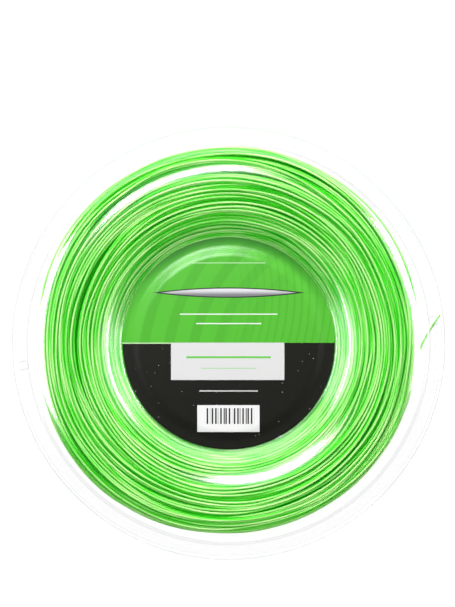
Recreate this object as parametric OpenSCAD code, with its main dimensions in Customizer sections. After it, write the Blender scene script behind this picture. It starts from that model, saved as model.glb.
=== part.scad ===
// String reel: two clear flanged halves pressed together at the hub, a printed label on each
// side, and a long racket string wound between the flanges with its free end threaded through
// a hole in the front rim. The reel lies flat on its rear crest, +Z up, axis at x = y = 0,
// and the label's top is towards +Y. Heights in the profile are measured from the mid-plane.

/* [Reel] */
// Diameter over the rim lips
reel_d = 270; // [250:1:290]
// Height over the two crests
reel_h = 25; // [24.5:0.5:32]
// Thickness of the clear plastic
shell_wall = 0.8; // [0.6:0.1:1.2]

/* [Flange] */
// Width of the flat crest that the reel rests on
crest_w = 3.5; // [2:0.5:5]
// Radius of the dome between the hub's mouth and the crest
inner_dome_r = 70; // [60:1:72]
// Slope of the flange between the hub's mouth and the crest, in degrees
inner_slope = 20; // [16:0.5:21]
// Radius of the dome between the crest and the outer shoulder
outer_dome_r = 45; // [30:1:50]
// Slope of the flange between the crest and the outer shoulder, in degrees
outer_slope = 15; // [12:0.5:17]
// Radius of the rounded mouth of the hub
mouth_r = 8; // [5:0.5:10]
// Radial run from the crest out to the foot of the shoulder
shoulder_run = 18.45; // [17:0.05:21]
// Radius of the outer shoulder
shoulder_r = 8; // [5:0.5:8.5]

/* [Rim] */
// Slope of the shoulder's wall above the foot, in degrees
foot_slope = 60; // [56:1:70]
// Radius in the foot of the shoulder
foot_r = 2.5; // [1:0.5:4]
// Height of the flat rim band above the mid-plane
rim_h = 5; // [4.5:0.1:5.5]
// Width of the flat rim band, from the foot of the shoulder to the lip's bend
band_w = 9.3; // [8:0.1:12]
// Radial run of the lip, from its bend to the reel's edge
lip_run = 3.5; // [2.5:0.1:4.5]
// Slope of the lip, in degrees
lip_slope = 45; // [30:1:60]
// Radius of the bend into the lip
lip_r = 2.5; // [1:0.5:3]
// Diameter of the threading holes
hole_d = 4.4; // [3.8:0.1:5]
// Distance of the threading holes from the foot of the shoulder
hole_offset = 5.3; // [4.6:0.1:5.6]
// Turn of the threading holes from the +X axis, in degrees
hole_turn = 6.2; // [5.5:0.1:7]

/* [Hub] */
// Diameter at the foot of the hub wall
hub_d = 132; // [120:1:144]
// Radius in the foot of the hub wall
hub_foot_r = 1.5; // [1:0.1:2]
// Radial run of the hub wall, from its foot to the mouth where it meets the dome
mouth_run = 8.2; // [7:0.1:9]
// Height of the hub floor's outer face above the mid-plane
floor_h = 2.4; // [2.2:0.1:3.5]
// Distance from the foot of the hub wall in to the socket ring that the string is wound on
socket_inset = 0.85; // [0.8:0.05:1.5]
// Thickness of the socket ring
socket_wall = 1; // [0.8:0.1:1.5]
// Thickness of the spigot ring
spigot_wall = 1.2; // [0.8:0.1:2]
// Radial clearance of the spigot in the socket
fit_clearance = 0.05; // [0.03:0.01:0.1]
// Gap between the spigot's end and the other floor
spigot_end_gap = 0.3; // [0.2:0.1:0.6]

/* [Label] */
// Distance from the foot of the hub wall in to the edge of each printed label
label_inset = 0.65; // [0.6:0.05:3]
// Thickness of each printed label
label_t = 0.3; // [0.2:0.05:0.4]

/* [String] */
// Diameter of the string
string_d = 1.3; // [1.1:0.05:1.35]
// Distance from the foot of the shoulder in to the outside of the wound string
pack_inset = 7.2; // [6.8:0.1:12]
// Gap between the wound string and the shells
pack_gap = 0.8; // [0.7:0.1:1.5]
// Gap between the outer turns and the core of turns below them
core_gap = 0.4; // [0.3:0.05:0.6]
// Gap between the core and the socket ring
core_seat_gap = 0.3; // [0.2:0.05:0.5]
// Turns that are drawn one by one
turns = 24; // [12:1:24]

/* [Hidden] */
arc_step = 5;        // degrees of turn for each step of a rounded corner
rings_a_turn = 24;   // rings of the winding's tube in each turn
winding_sides = 6;
tail_sides = 8;
tail_steps = 2;      // rings for each stretch between two points of the tail's route
through = 1;         // how far a cutting shape runs past what it cuts
circle_facets = 128;

mid_z = reel_h / 2;
floor_in_h = floor_h - shell_wall;
hub_r = hub_d / 2;
socket_r = hub_r - socket_inset;
label_r = hub_r - label_inset;
spigot_r = socket_r - socket_wall - fit_clearance;

// The tail's route by hand: [distance from the axis, angle in degrees, height above the mid-plane]
tail_route = [
    [114.4, -60, -8], [114.4, -58.5, -8], [115.2, -54, -7.9], [115.9, -50, -7.7],
    [116.1, -46, -7.2], [116.2, -42, -6.6], [116.2, -38, -6], [116.3, -34, -5.3],
    [116.3, -30, -4.6], [116.4, -26, -3.9], [116.4, -22, -3.2], [116.5, -18, -2.5],
    [116.5, -14, -1.8], [116.6, -10, -1.1], [116.8, -6.5, -0.6], [117.4, -3.6, -0.3],
    [118.8, -1, -0.1], [120.8, 1, 0.1], [123, 2.8, 0.6], [125.2, 4.3, 1.6], [126.3, 5, 2.5],
    [127.2, 5.7, 3.8], [128.1, 6.25, 5], [129, 6.8, 6.2], [130.6, 7.7, 8]
];

// Flange profile
function unit(v) = v / norm(v);
function turned(v, a) = [v.x * cos(a) - v.y * sin(a), v.x * sin(a) + v.y * cos(a)];
function left(v) = [-v.y, v.x];

half_h = reel_h / 2;
lip = [reel_d / 2 - lip_run, rim_h];
foot = [lip.x - band_w, rim_h];
crest_out = [foot.x - shoulder_run, half_h];
crest_in = [crest_out.x - crest_w, half_h];
inner_bend = crest_in - [inner_dome_r * tan(inner_slope / 2), 0];
outer_bend = crest_out + [outer_dome_r * tan(outer_slope / 2), 0];
mouth_edge_r = hub_r + mouth_run;
mouth = [mouth_edge_r, half_h - (inner_bend.x - mouth_edge_r) * tan(inner_slope)];
// Length of the outer slope, up to where it meets the shoulder's wall
outer_run = (foot.x - outer_bend.x - (half_h - rim_h) / tan(foot_slope))
    / (cos(outer_slope) - sin(outer_slope) / tan(foot_slope));
shoulder = outer_bend + outer_run * [cos(outer_slope), -sin(outer_slope)];
lip_end_r = reel_d / 2 - shell_wall * sin(lip_slope);
lip_end = [lip_end_r, rim_h + (lip_end_r - lip.x) * tan(lip_slope)];

// Corners of the outer skin from the axis to the lip, and the radius that rounds each of them
profile = [[0, floor_h], [hub_r, floor_h], mouth, inner_bend, outer_bend, shoulder, foot, lip, lip_end];
radii = [0, hub_foot_r, mouth_r, inner_dome_r, outer_dome_r, shoulder_r, foot_r, lip_r, 0];
last = len(profile) - 1;

function turn_at(i) = i == 0 || i == last ? 0 :
    let (before = profile[i] - profile[i - 1], after = profile[i + 1] - profile[i])
    atan2(cross(before, after), before * after);
function wanted_cut(i) = radii[i] * tan(abs(turn_at(i)) / 2);
function share(i, j) = wanted_cut(i) + wanted_cut(j) == 0 ? 1 :
    norm(profile[i] - profile[j]) / (wanted_cut(i) + wanted_cut(j));
// A corner's radius, less where its neighbours leave too little room
function fitting_radius(i) = radii[i] * min(1, share(i - 1, i), share(i, i + 1));

// One rounded corner, as pairs of a point and its outward normal
function corner(i) =
    let (along = unit(profile[i] - profile[i - 1]),
         turn = turn_at(i),
         radius = fitting_radius(i),
         start = profile[i] - along * radius * tan(abs(turn) / 2),
         centre = start + left(along) * sign(turn) * radius,
         steps = max(2, ceil(abs(turn) / arc_step)))
    [for (k = [0:steps]) let (arm = turned(start - centre, turn * k / steps))
        [centre + arm, -sign(turn) * arm / radius]];

end_normal = left(unit(lip_end - lip));
skin = concat([[profile[0], [0, 1]]],
              [for (i = [1:last - 1]) each corner(i)],
              [[lip_end, end_normal]]);
function skin_at(depth) = [for (p = skin) p[0] - depth * p[1]];
function reversed(list) = [for (i = [len(list) - 1:-1:0]) list[i]];
// Height of the surface that lies at a depth below the outer skin
function height_at(r, depth) = lookup(r, skin_at(depth));

// Winding: an even spiral from the hub, out under the front flange and back round the outside
wind_r = foot.x - pack_inset - string_d / 2;
chord_sag = 1 - cos(180 / rings_a_turn);
wind_depth = shell_wall + pack_gap + string_d / 2;
wind_start_r = (socket_r + core_seat_gap + string_d / 2) / (1 - chord_sag);
wind_end_h = tail_route[0][2];
wind_line = concat([[wind_start_r, height_at(wind_start_r, wind_depth)]],
                   [for (p = skin_at(wind_depth)) if (p.x > wind_start_r && p.x < wind_r) p],
                   [[wind_r, height_at(wind_r, wind_depth)], [wind_r, wind_end_h]]);
wind_runs = [for (i = 0, run = 0; i < len(wind_line);
                  run = run + (i + 1 < len(wind_line) ? norm(wind_line[i + 1] - wind_line[i]) : 0),
                  i = i + 1) run];
wind_radii = [for (i = [0:len(wind_line) - 1]) [wind_runs[i], wind_line[i].x]];
wind_heights = [for (i = [0:len(wind_line) - 1]) [wind_runs[i], wind_line[i].y]];
wind_length = wind_runs[len(wind_runs) - 1];

function polar(r, a, h) = [r * cos(a), r * sin(a), mid_z + h];
tail_points = [for (p = tail_route) polar(p[0], p[1], p[2])];
tail_way = unit(tail_points[1] - tail_points[0]);

wind_rings = turns * rings_a_turn;
wind_turns = [for (i = [0:wind_rings - 1])
    let (run = wind_length * i / wind_rings)
    polar(lookup(run, wind_radii), tail_route[0][1] + 360 * i / rings_a_turn,
          lookup(run, wind_heights))];
wind_first_way = unit(wind_turns[1] - wind_turns[0]);
wind_points = concat([wind_turns[0] - wind_first_way * string_d], wind_turns,
                     [tail_points[0] - tail_way * string_d, tail_points[0]]);
turn_gaps = [for (i = [0:wind_rings - rings_a_turn - 1])
    norm(wind_turns[i + rings_a_turn] - wind_turns[i]) - string_d];
echo(str("least gap between two turns of the winding: ", min(turn_gaps), " mm"));

// A smooth curve through points, with a number of steps for each stretch
function curve_point(a, b, c, d, t) =
    b + (c - a) * t / 2 + (2 * a - 5 * b + 4 * c - d) * t * t / 2 + (3 * b - a - 3 * c + d) * t * t * t / 2;
function smooth_route(points, steps) =
    let (n = len(points) - 1, first = 2 * points[0] - points[1], after = 2 * points[n] - points[n - 1])
    concat([for (i = [0:n - 1]) each [for (k = [0:steps - 1])
                curve_point(i == 0 ? first : points[i - 1], points[i], points[i + 1],
                            i == n - 1 ? after : points[i + 2], k / steps)]],
           [points[n]]);
function run_of(points) = [for (i = 0, run = 0; i < len(points);
                                run = run + (i + 1 < len(points) ? norm(points[i + 1] - points[i]) : 0),
                                i = i + 1) run];
tail_curve = smooth_route(tail_points, tail_steps);
echo(str("length of the free tail: ", run_of(tail_curve)[len(tail_curve) - 1], " mm"));

// A round tube of triangles along points that nowhere run straight up
module tube(points, diameter, sides) {
    n = len(points);
    rings = [for (i = [0:n - 1])
        let (way = unit(points[min(i + 1, n - 1)] - points[max(i - 1, 0)]),
             across = unit(cross(way, [0, 0, 1])),
             up = cross(across, way))
        [for (k = [0:sides - 1]) let (a = 360 * (k + 0.5) / sides)
            points[i] + diameter / 2 * (across * cos(a) + up * sin(a))]];
    walls = [for (i = [0:n - 2]) each [for (k = [0:sides - 1])
        let (a = i * sides + k, b = i * sides + (k + 1) % sides)
        each [[a, a + sides, b], [b, a + sides, b + sides]]]];
    first_end = [for (k = [1:sides - 2]) [0, k, k + 1]];
    base = (n - 1) * sides;
    last_end = [for (k = [1:sides - 2]) [base, base + k + 1, base + k]];
    polyhedron(points = [for (ring = rings) each ring], faces = concat(walls, first_end, last_end));
}

// One clear half without its hub ring, on its own side of the mid-plane
module half_shell() {
    difference() {
        rotate_extrude($fn = circle_facets)
            polygon(concat(skin_at(0), reversed(skin_at(shell_wall))));
        for (side = [0, 180])
            rotate(hole_turn + side)
                translate([foot.x + hole_offset, 0, rim_h - shell_wall - through])
                    cylinder(d = hole_d, h = shell_wall + 2 * through, $fn = 32);
    }
}

module hub_ring(outer_r, wall, low, high) {
    translate([0, 0, low])
        difference() {
            cylinder(r = outer_r, h = high - low, $fn = circle_facets);
            translate([0, 0, -through])
                cylinder(r = outer_r - wall, h = high - low + 2 * through, $fn = circle_facets);
        }
}

module front_shell() {
    color([0.9, 0.95, 0.95, 0.35])
        translate([0, 0, mid_z])
            union() {
                half_shell();
                hub_ring(spigot_r, spigot_wall, spigot_end_gap - floor_in_h, floor_in_h + shell_wall / 2);
            }
}

module rear_shell() {
    color([0.9, 0.95, 0.95, 0.35])
        translate([0, 0, mid_z])
            union() {
                mirror([0, 0, 1])
                    half_shell();
                hub_ring(socket_r, socket_wall, -floor_in_h - shell_wall / 2, floor_in_h);
            }
}

module front_label() {
    color([0.37, 0.78, 0.24])
        translate([0, 0, mid_z + floor_h])
            cylinder(r = label_r, h = label_t, $fn = circle_facets);
}

module rear_label() {
    color([0.15, 0.14, 0.14])
        translate([0, 0, mid_z - floor_h - label_t])
            cylinder(r = label_r, h = label_t, $fn = circle_facets);
}

// Everything that lies deeper than a depth below the outer skin of one half
module space_under(depth) {
    line = skin_at(depth);
    rotate_extrude($fn = circle_facets)
        polygon(concat(line, [[line[len(line) - 1].x, -half_h], [0, -half_h]]));
}

// The turns below the outer layer, as one solid
module string_core() {
    front_depth = shell_wall + pack_gap + string_d + core_gap;
    rear_depth = shell_wall + pack_gap;
    core_r = wind_r * (1 - chord_sag) - string_d / 2 - core_gap;
    color([0.33, 0.8, 0.22])
        translate([0, 0, mid_z])
            difference() {
                intersection() {
                    space_under(front_depth);
                    mirror([0, 0, 1])
                        space_under(rear_depth);
                    translate([0, 0, -half_h])
                        cylinder(r = core_r, h = reel_h, $fn = circle_facets);
                }
                translate([0, 0, -half_h - through])
                    cylinder(r = socket_r + core_seat_gap, h = reel_h + 2 * through, $fn = circle_facets);
            }
}

module string_winding() {
    color([0.43, 0.92, 0.31])
        tube(wind_points, string_d, winding_sides);
}

module string_tail() {
    color([0.55, 0.95, 0.4])
        tube(tail_curve, string_d, tail_sides);
}

front_shell();
rear_shell();
front_label();
rear_label();
string_core();
string_winding();
string_tail();
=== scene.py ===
"""Dresses the string reel: clear halves, wound string with its free end, printed labels and a studio."""

import math

import bmesh
import bpy
import numpy as np
from bpy.props import FloatProperty, FloatVectorProperty, IntProperty, PointerProperty
from mathutils import Matrix, Vector


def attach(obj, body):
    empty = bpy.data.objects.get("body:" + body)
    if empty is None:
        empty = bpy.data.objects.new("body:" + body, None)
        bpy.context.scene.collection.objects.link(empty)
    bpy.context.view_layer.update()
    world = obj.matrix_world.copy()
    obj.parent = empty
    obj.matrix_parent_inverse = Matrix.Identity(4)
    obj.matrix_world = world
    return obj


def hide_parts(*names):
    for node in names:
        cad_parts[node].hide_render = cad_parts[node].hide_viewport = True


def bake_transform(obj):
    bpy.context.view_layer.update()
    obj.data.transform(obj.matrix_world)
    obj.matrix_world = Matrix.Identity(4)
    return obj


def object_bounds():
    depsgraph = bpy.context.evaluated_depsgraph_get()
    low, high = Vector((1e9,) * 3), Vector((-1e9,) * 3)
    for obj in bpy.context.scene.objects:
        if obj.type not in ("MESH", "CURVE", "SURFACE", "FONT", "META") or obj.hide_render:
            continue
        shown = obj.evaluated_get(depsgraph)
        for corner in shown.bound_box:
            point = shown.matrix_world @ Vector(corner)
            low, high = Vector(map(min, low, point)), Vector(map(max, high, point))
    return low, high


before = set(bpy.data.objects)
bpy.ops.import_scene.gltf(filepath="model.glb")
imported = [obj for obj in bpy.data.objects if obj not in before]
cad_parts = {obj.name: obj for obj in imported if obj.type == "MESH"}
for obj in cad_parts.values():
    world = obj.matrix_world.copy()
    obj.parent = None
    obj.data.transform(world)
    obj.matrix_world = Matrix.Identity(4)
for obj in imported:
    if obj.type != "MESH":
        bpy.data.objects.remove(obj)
CAD_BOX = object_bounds()
MID_Z = (CAD_BOX[0][2] + CAD_BOX[1][2]) / 2

bl_info = {
    "name": "String Reel",
    "version": (1, 0, 0),
    "blender": (4, 5, 0),
    "location": "View3D > Sidebar > String Reel",
    "description": "Clear string reel with its wound string, printed labels and a plain studio",
    "category": "Object",
}

REAR = "rear_half"
FRONT = "front_half"
STRING_FINISH = "neon_string"

# Distance under which the vertices of a seam or a pole are one, in metres
SEAM_GAP = 1e-7


def length(name, description, default):
    """A length in metres that a user can change."""
    return FloatProperty(
        name=name, description=description, default=default, unit="LENGTH", subtype="DISTANCE", precision=5
    )


def angle(name, description, degrees):
    """An angle that a user can change, given here in degrees."""
    return FloatProperty(name=name, description=description, default=math.radians(degrees), subtype="ANGLE")


def factor(name, description, default, highest=1.0):
    """A plain number from 0 to its highest value."""
    return FloatProperty(name=name, description=description, default=default, min=0, max=highest)


def colour(name, description, default):
    """A linear colour."""
    return FloatVectorProperty(name=name, description=description, default=default, size=3, subtype="COLOR",
                               min=0, max=1)


class ShellSizes(bpy.types.PropertyGroup):
    """Profile of the two clear halves, the same as the solids'."""

    wall: length("Wall", "Thickness of the clear plastic", 0.0008)
    crest_w: length("Crest width", "Width of the flat crest", 0.0035)
    inner_dome_r: length("Inner dome radius", "Dome between the hub's mouth and the crest", 0.070)
    inner_slope: angle("Inner slope", "Slope between the hub's mouth and the crest", 20)
    outer_dome_r: length("Outer dome radius", "Dome between the crest and the shoulder", 0.045)
    outer_slope: angle("Outer slope", "Slope between the crest and the shoulder", 15)
    mouth_r: length("Mouth radius", "Rounding of the hub's mouth", 0.008)
    shoulder_run: length("Shoulder run", "Radial run from the crest out to the shoulder's foot", 0.01845)
    shoulder_r: length("Shoulder radius", "Rounding of the outer shoulder", 0.008)
    foot_slope: angle("Foot slope", "Slope of the shoulder's wall above its foot", 60)
    foot_r: length("Foot radius", "Rounding in the foot of the shoulder", 0.0025)
    rim_h: length("Rim height", "Height of the flat rim band above the mid-plane", 0.005)
    band_w: length("Band width", "Width of the flat rim band", 0.0093)
    lip_run: length("Lip run", "Radial run of the lip", 0.0035)
    lip_slope: angle("Lip slope", "Slope of the lip", 45)
    lip_r: length("Lip radius", "Rounding of the bend into the lip", 0.0025)
    hub_d: length("Hub diameter", "Diameter at the foot of the hub wall", 0.132)
    hub_foot_r: length("Hub foot radius", "Rounding in the foot of the hub wall", 0.0015)
    mouth_run: length("Mouth run", "Radial run of the hub wall", 0.0082)
    floor_h: length("Floor height", "Height of the hub floor above the mid-plane", 0.0024)
    socket_inset: length("Socket inset", "From the hub wall's foot in to the socket ring", 0.00085)
    socket_wall: length("Socket wall", "Thickness of the socket ring", 0.001)
    spigot_wall: length("Spigot wall", "Thickness of the spigot ring", 0.0012)
    fit_clearance: length("Fit clearance", "Radial clearance of the spigot", 0.00005)
    spigot_end_gap: length("Spigot end gap", "Gap under the spigot's end", 0.0003)
    hole_d: length("Hole diameter", "Diameter of the threading holes", 0.0044)
    hole_offset: length("Hole offset", "From the shoulder's foot out to the threading holes", 0.0053)
    hole_turn: angle("Hole turn", "Turn of the threading holes from the +X axis", 6.2)
    steps: IntProperty(name="Steps", description="Steps of a full spin", default=252, min=64)
    arc_step: angle("Arc step", "Turn of each step along a rounding", 1.25)


class StringSizes(bpy.types.PropertyGroup):
    """The wound string and its free end."""

    diameter: length("String diameter", "Diameter of the string", 0.0013)
    turns: IntProperty(name="Turns", description="Turns of string on the reel", default=346, min=8)
    stations: IntProperty(name="Stations", description="Points on each turn", default=120, min=24)
    pack_r: length("Pack radius", "Radius of the wound string's outside, between its swells", 0.1156)
    fill_hub: factor("Fill at the hub", "Share of the space that the string fills at the hub", 0.70)
    fill_out: factor("Fill outside", "Share of the space that the string fills at the outside", 0.45)
    pitch_mid: length("Pitch", "Step of the winding with each turn, midway between the halves", 0.0019)
    pitch_face: length("Pitch at the faces", "Step of the winding with each turn, next to the halves", 0.0015)
    hub_gap: length("Hub gap", "Gap between the first turns and the socket ring", 0.00005)
    face_gap: length("Face gap", "Gap between the turns and the clear halves at the hub", 0.0003)
    loose_gap: length("Loose gap", "Further gap to the clear halves at the outside", 0.0005)
    slip: length("Slip", "Step that the string slips sideways at each point", 0.00006)
    slip_most: length("Most slip", "Most that the string lies beside its even place", 0.001)
    grip: factor("Grip", "How much the string resists slipping", 0.2)
    drift: length("Drift", "How far thick bundles of turns stand off", 0.0013)
    bulge: length("Bulge", "How far thin bundles of turns stand off", 0.0005)
    ripple: length("Ripple", "How far single turns stand off", 0.0014)
    dip: length("Dip", "How far single turns lie back from the clear halves", 0.0023)
    gaps: IntProperty(name="Gaps", description="Bridged gaps near each clear half", default=11)
    gap: length("Gap", "Most that the string stands off where turns bridge a gap", 0.0022)
    gap_fade: factor("Gap fade", "Turns over which a bridged gap is filled up again", 30, 100)
    gap_depth: length("Gap depth", "Height above the mid-plane at which bridged gaps are widest", 0.006)
    miss: factor("Miss", "How far a turn stays short of the clear halves, in diameters", 0.4, 3)
    swell_depth: length("Swell depth", "Depth of the turns that follow the pack's swells", 0.018)
    loose_r: length("Loose radius", "Radius of the last turn, which lies loose", 0.1202)
    loose_h: length("Loose height", "Height of the loose last turn above the mid-plane", 0.005)
    pieces: IntProperty(name="Pieces", description="Pieces of the wound string", default=4, min=1)
    seed: IntProperty(name="Seed", description="Seed of the winding's wander", default=7)


class Colours(bpy.types.PropertyGroup):
    """Colours of the finishes."""

    string: colour("String", "Neon green string, where light falls straight on it", (0.56, 0.86, 0.345))
    # The string's tone runs from its lit colour through a mid tone to a deep tone; random streaks and painted
    # shade by depth between the turns both darken it, the deepest tone coming from the painted shade
    string_mid_streaks_and_shade: colour("String mid", "The string a turn down from the faces", (0.10, 0.72, 0.035))
    string_deep_shade: colour("String deep", "The string in the gaps, deep between the turns", (0.0, 0.50, 0.0))
    # Painted glow: green emission that lightens the string where it lies in shade
    string_painted_glow: colour("String glow", "Glow of the neon dye", (0.0, 0.06, 0.0))
    clear: colour("Clear plastic", "What the clear plastic lets through", (0.988, 0.988, 0.988))
    clear_edge: colour("Clear edge", "What the clear plastic lets through at a glance", (0.90, 0.90, 0.91))
    # Painted shade: what the rim's bends and the holes' edges let through, darker where the plastic bends
    # light away
    clear_bend_shade: colour("Clear bend", "What the rim's bends let through", (0.925, 0.925, 0.93))
    print_green: colour("Print green", "Green half of the label", (0.075, 0.385, 0.030))
    print_dark_green: colour("Print dark green", "Motif on the green half", (0.048, 0.27, 0.021))
    # Painted shadow: the green darkened along the label's top rim, where the wound string shades it
    print_rim_shadow: colour("Print rim green", "Green half next to its rim", (0.018, 0.16, 0.010))
    print_black: colour("Print black", "Near-black half of the label", (0.0095, 0.0095, 0.0075))
    print_grey: colour("Print grey", "Light panel of the label", (0.54, 0.54, 0.54))
    print_silver: colour("Print silver", "Silver lines of the label", (0.55, 0.55, 0.57))
    floor: colour("Floor", "What the floor throws back besides its own glow", (0.03, 0.03, 0.03))


class Studio(bpy.types.PropertyGroup):
    """Camera and lights."""

    camera_height: length("Camera height", "Height of the camera above the floor", 1.023)
    camera_x: length("Camera x", "Place of the camera along X", -0.0007)
    camera_y: length("Camera y", "Place of the camera along Y", 0.0245)
    view_height: length("View height", "Height of the view at the rim's level", 0.3708)
    rim_level: length("Rim level", "Height of the front rim above the floor", 0.023)
    softbox_power: factor("Softbox power", "Power of the mirrored softbox, in watts", 5.0, 1000)
    key_power: factor("Key power", "Power of the key light, in watts", 29.5, 1000)
    top_power: factor("Top power", "Power of the light at the label's top side, in watts", 18.0, 1000)
    strip_power: factor("Strip power", "Power of each mirrored side strip, in watts", 28.0, 1000)
    fill_power: factor("Fill power", "Power of each side fill, in watts", 6.5, 1000)
    world_strength: factor("World strength", "Strength of the light from all round", 1.0, 10)
    exposure: FloatProperty(name="Exposure", description="Exposure of the picture", default=0.0)


# Profile of a clear half


def shell_corners(s):
    """Corners of the outer skin from the axis (radius, height above the mid-plane), with their roundings."""
    half_h = (CAD_BOX[1][2] - CAD_BOX[0][2]) / 2
    hub_r = s.hub_d / 2
    lip = Vector(((CAD_BOX[1][0] - CAD_BOX[0][0]) / 2 - s.lip_run, s.rim_h))
    foot = Vector((lip.x - s.band_w, s.rim_h))
    crest_out = foot.x - s.shoulder_run
    crest_in = crest_out - s.crest_w
    inner_bend = Vector((crest_in - s.inner_dome_r * math.tan(s.inner_slope / 2), half_h))
    outer_bend = Vector((crest_out + s.outer_dome_r * math.tan(s.outer_slope / 2), half_h))
    mouth_x = hub_r + s.mouth_run
    mouth = Vector((mouth_x, half_h - (inner_bend.x - mouth_x) * math.tan(s.inner_slope)))
    outer_run = (foot.x - outer_bend.x - (half_h - s.rim_h) / math.tan(s.foot_slope)) / (
        math.cos(s.outer_slope) - math.sin(s.outer_slope) / math.tan(s.foot_slope)
    )
    shoulder = outer_bend + outer_run * Vector((math.cos(s.outer_slope), -math.sin(s.outer_slope)))
    end_x = lip.x + s.lip_run - s.wall * math.sin(s.lip_slope)
    lip_end = Vector((end_x, s.rim_h + (end_x - lip.x) * math.tan(s.lip_slope)))
    return [
        (Vector((0, s.floor_h)), 0),
        (Vector((hub_r, s.floor_h)), s.hub_foot_r),
        (mouth, s.mouth_r),
        (inner_bend, s.inner_dome_r),
        (outer_bend, s.outer_dome_r),
        (shoulder, s.shoulder_r),
        (foot, s.foot_r),
        (lip, s.lip_r),
        (lip_end, 0),
    ]


def rim_radii(s):
    """Distance from the axis of the shoulder's foot, the lip's bend and the lip's end."""
    return [corner.x for corner, _ in shell_corners(s)[-3:]]


def hole_places(s):
    """Centres of the two threading holes, across from each other."""
    reach = rim_radii(s)[0] + s.hole_offset
    turns = (s.hole_turn, s.hole_turn + math.pi)
    return [reach * Vector((math.cos(turn), math.sin(turn), 0)) for turn in turns]


def draw_outline(bm, corners, arc_step):
    """Draws a rounded outline in the XZ plane: straight runs are extruded and roundings spun."""
    vert = bm.verts.new((corners[0][0].x, 0, corners[0][0].y))
    for (before, _), (corner, radius), (after, _) in zip(corners, corners[1:], corners[2:]):
        heading = (corner - before).normalized()
        turn = heading.angle_signed(after - corner)
        start = corner - heading * radius * math.tan(abs(turn) / 2)
        vert = bmesh.ops.extrude_vert_indiv(bm, verts=[vert])["verts"][0]
        vert.co = (start.x, 0, start.y)
        side = Vector((-heading.y, heading.x)) * (-1 if turn > 0 else 1)
        centre = start + side * radius
        spun = bmesh.ops.spin(
            bm, geom=[vert], cent=(centre.x, 0, centre.y), axis=(0, 1, 0), angle=turn,
            steps=max(2, math.ceil(abs(turn) / arc_step)),
        )
        vert = next(v for v in spun["geom_last"] if isinstance(v, bmesh.types.BMVert))
    vert = bmesh.ops.extrude_vert_indiv(bm, verts=[vert])["verts"][0]
    vert.co = (corners[-1][0].x, 0, corners[-1][0].y)


def skin_line(s):
    """Points (radius, height above the mid-plane) of the outer skin, in order from the axis."""
    bm = bmesh.new()
    draw_outline(bm, shell_corners(s), s.arc_step)
    line = sorted((v.co.x, v.co.z) for v in bm.verts)
    bm.free()
    return np.array(line)


def inner_line(s, depth):
    """Points of the surface that lies at a depth under the outer skin."""
    line = skin_line(s)
    way = np.gradient(line, axis=0)
    way /= np.linalg.norm(way, axis=1)[:, None]
    return line - depth * np.stack([-way[:, 1], way[:, 0]], axis=1)


# Meshes


def new_object(name, data):
    """A scene object that holds a mesh, a curve, a light or a camera."""
    thing = bpy.data.objects.new(name, data)
    bpy.context.scene.collection.objects.link(thing)
    return thing


def object_from(bm, name):
    """A scene object from a bmesh, which is freed."""
    mesh = bpy.data.meshes.new(name)
    bm.to_mesh(mesh)
    bm.free()
    return new_object(name, mesh)


def finished_mesh(thing):
    """The object's mesh with its modifiers or its curve's tube made real."""
    graph = bpy.context.evaluated_depsgraph_get()
    graph.update()
    return bpy.data.meshes.new_from_object(thing.evaluated_get(graph))


def smooth(mesh, sharp_degrees):
    """Smooth shading, but for edges sharper than an angle."""
    mesh.polygons.foreach_set("use_smooth", np.ones(len(mesh.polygons), bool))
    mesh.set_sharp_from_angle(angle=math.radians(sharp_degrees))


def bake_modifiers(thing):
    """Makes the modifiers real and takes them off."""
    mesh = finished_mesh(thing)
    old = thing.data
    thing.modifiers.clear()
    thing.data = mesh
    bpy.data.meshes.remove(old)


def cut_or_join(thing, tool, operation):
    """Joins a closed tool mesh to a piece, or cuts it away."""
    modifier = thing.modifiers.new(operation.lower(), "BOOLEAN")
    modifier.operation = operation
    modifier.solver = "EXACT"
    modifier.object = tool
    bake_modifiers(thing)
    mesh = tool.data
    bpy.data.objects.remove(tool)
    bpy.data.meshes.remove(mesh)


def spin_round(bm, steps):
    """Spins the edges a full turn about the Z axis, and closes the seam and the poles."""
    bmesh.ops.spin(bm, geom=bm.verts[:] + bm.edges[:], cent=(0, 0, 0), axis=(0, 0, 1), angle=math.tau,
                   steps=steps, use_merge=True)
    bmesh.ops.remove_doubles(bm, verts=bm.verts, dist=SEAM_GAP)
    bmesh.ops.recalc_face_normals(bm, faces=bm.faces)


def spun_ring(name, inner_r, outer_r, low, high, steps):
    """A plain ring about the Z axis."""
    bm = bmesh.new()
    corners = [(inner_r, low), (outer_r, low), (outer_r, high), (inner_r, high)]
    verts = [bm.verts.new((r, 0, z)) for r, z in corners]
    for a, b in zip(verts, verts[1:] + verts[:1]):
        bm.edges.new((a, b))
    spin_round(bm, steps)
    return object_from(bm, name)


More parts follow.
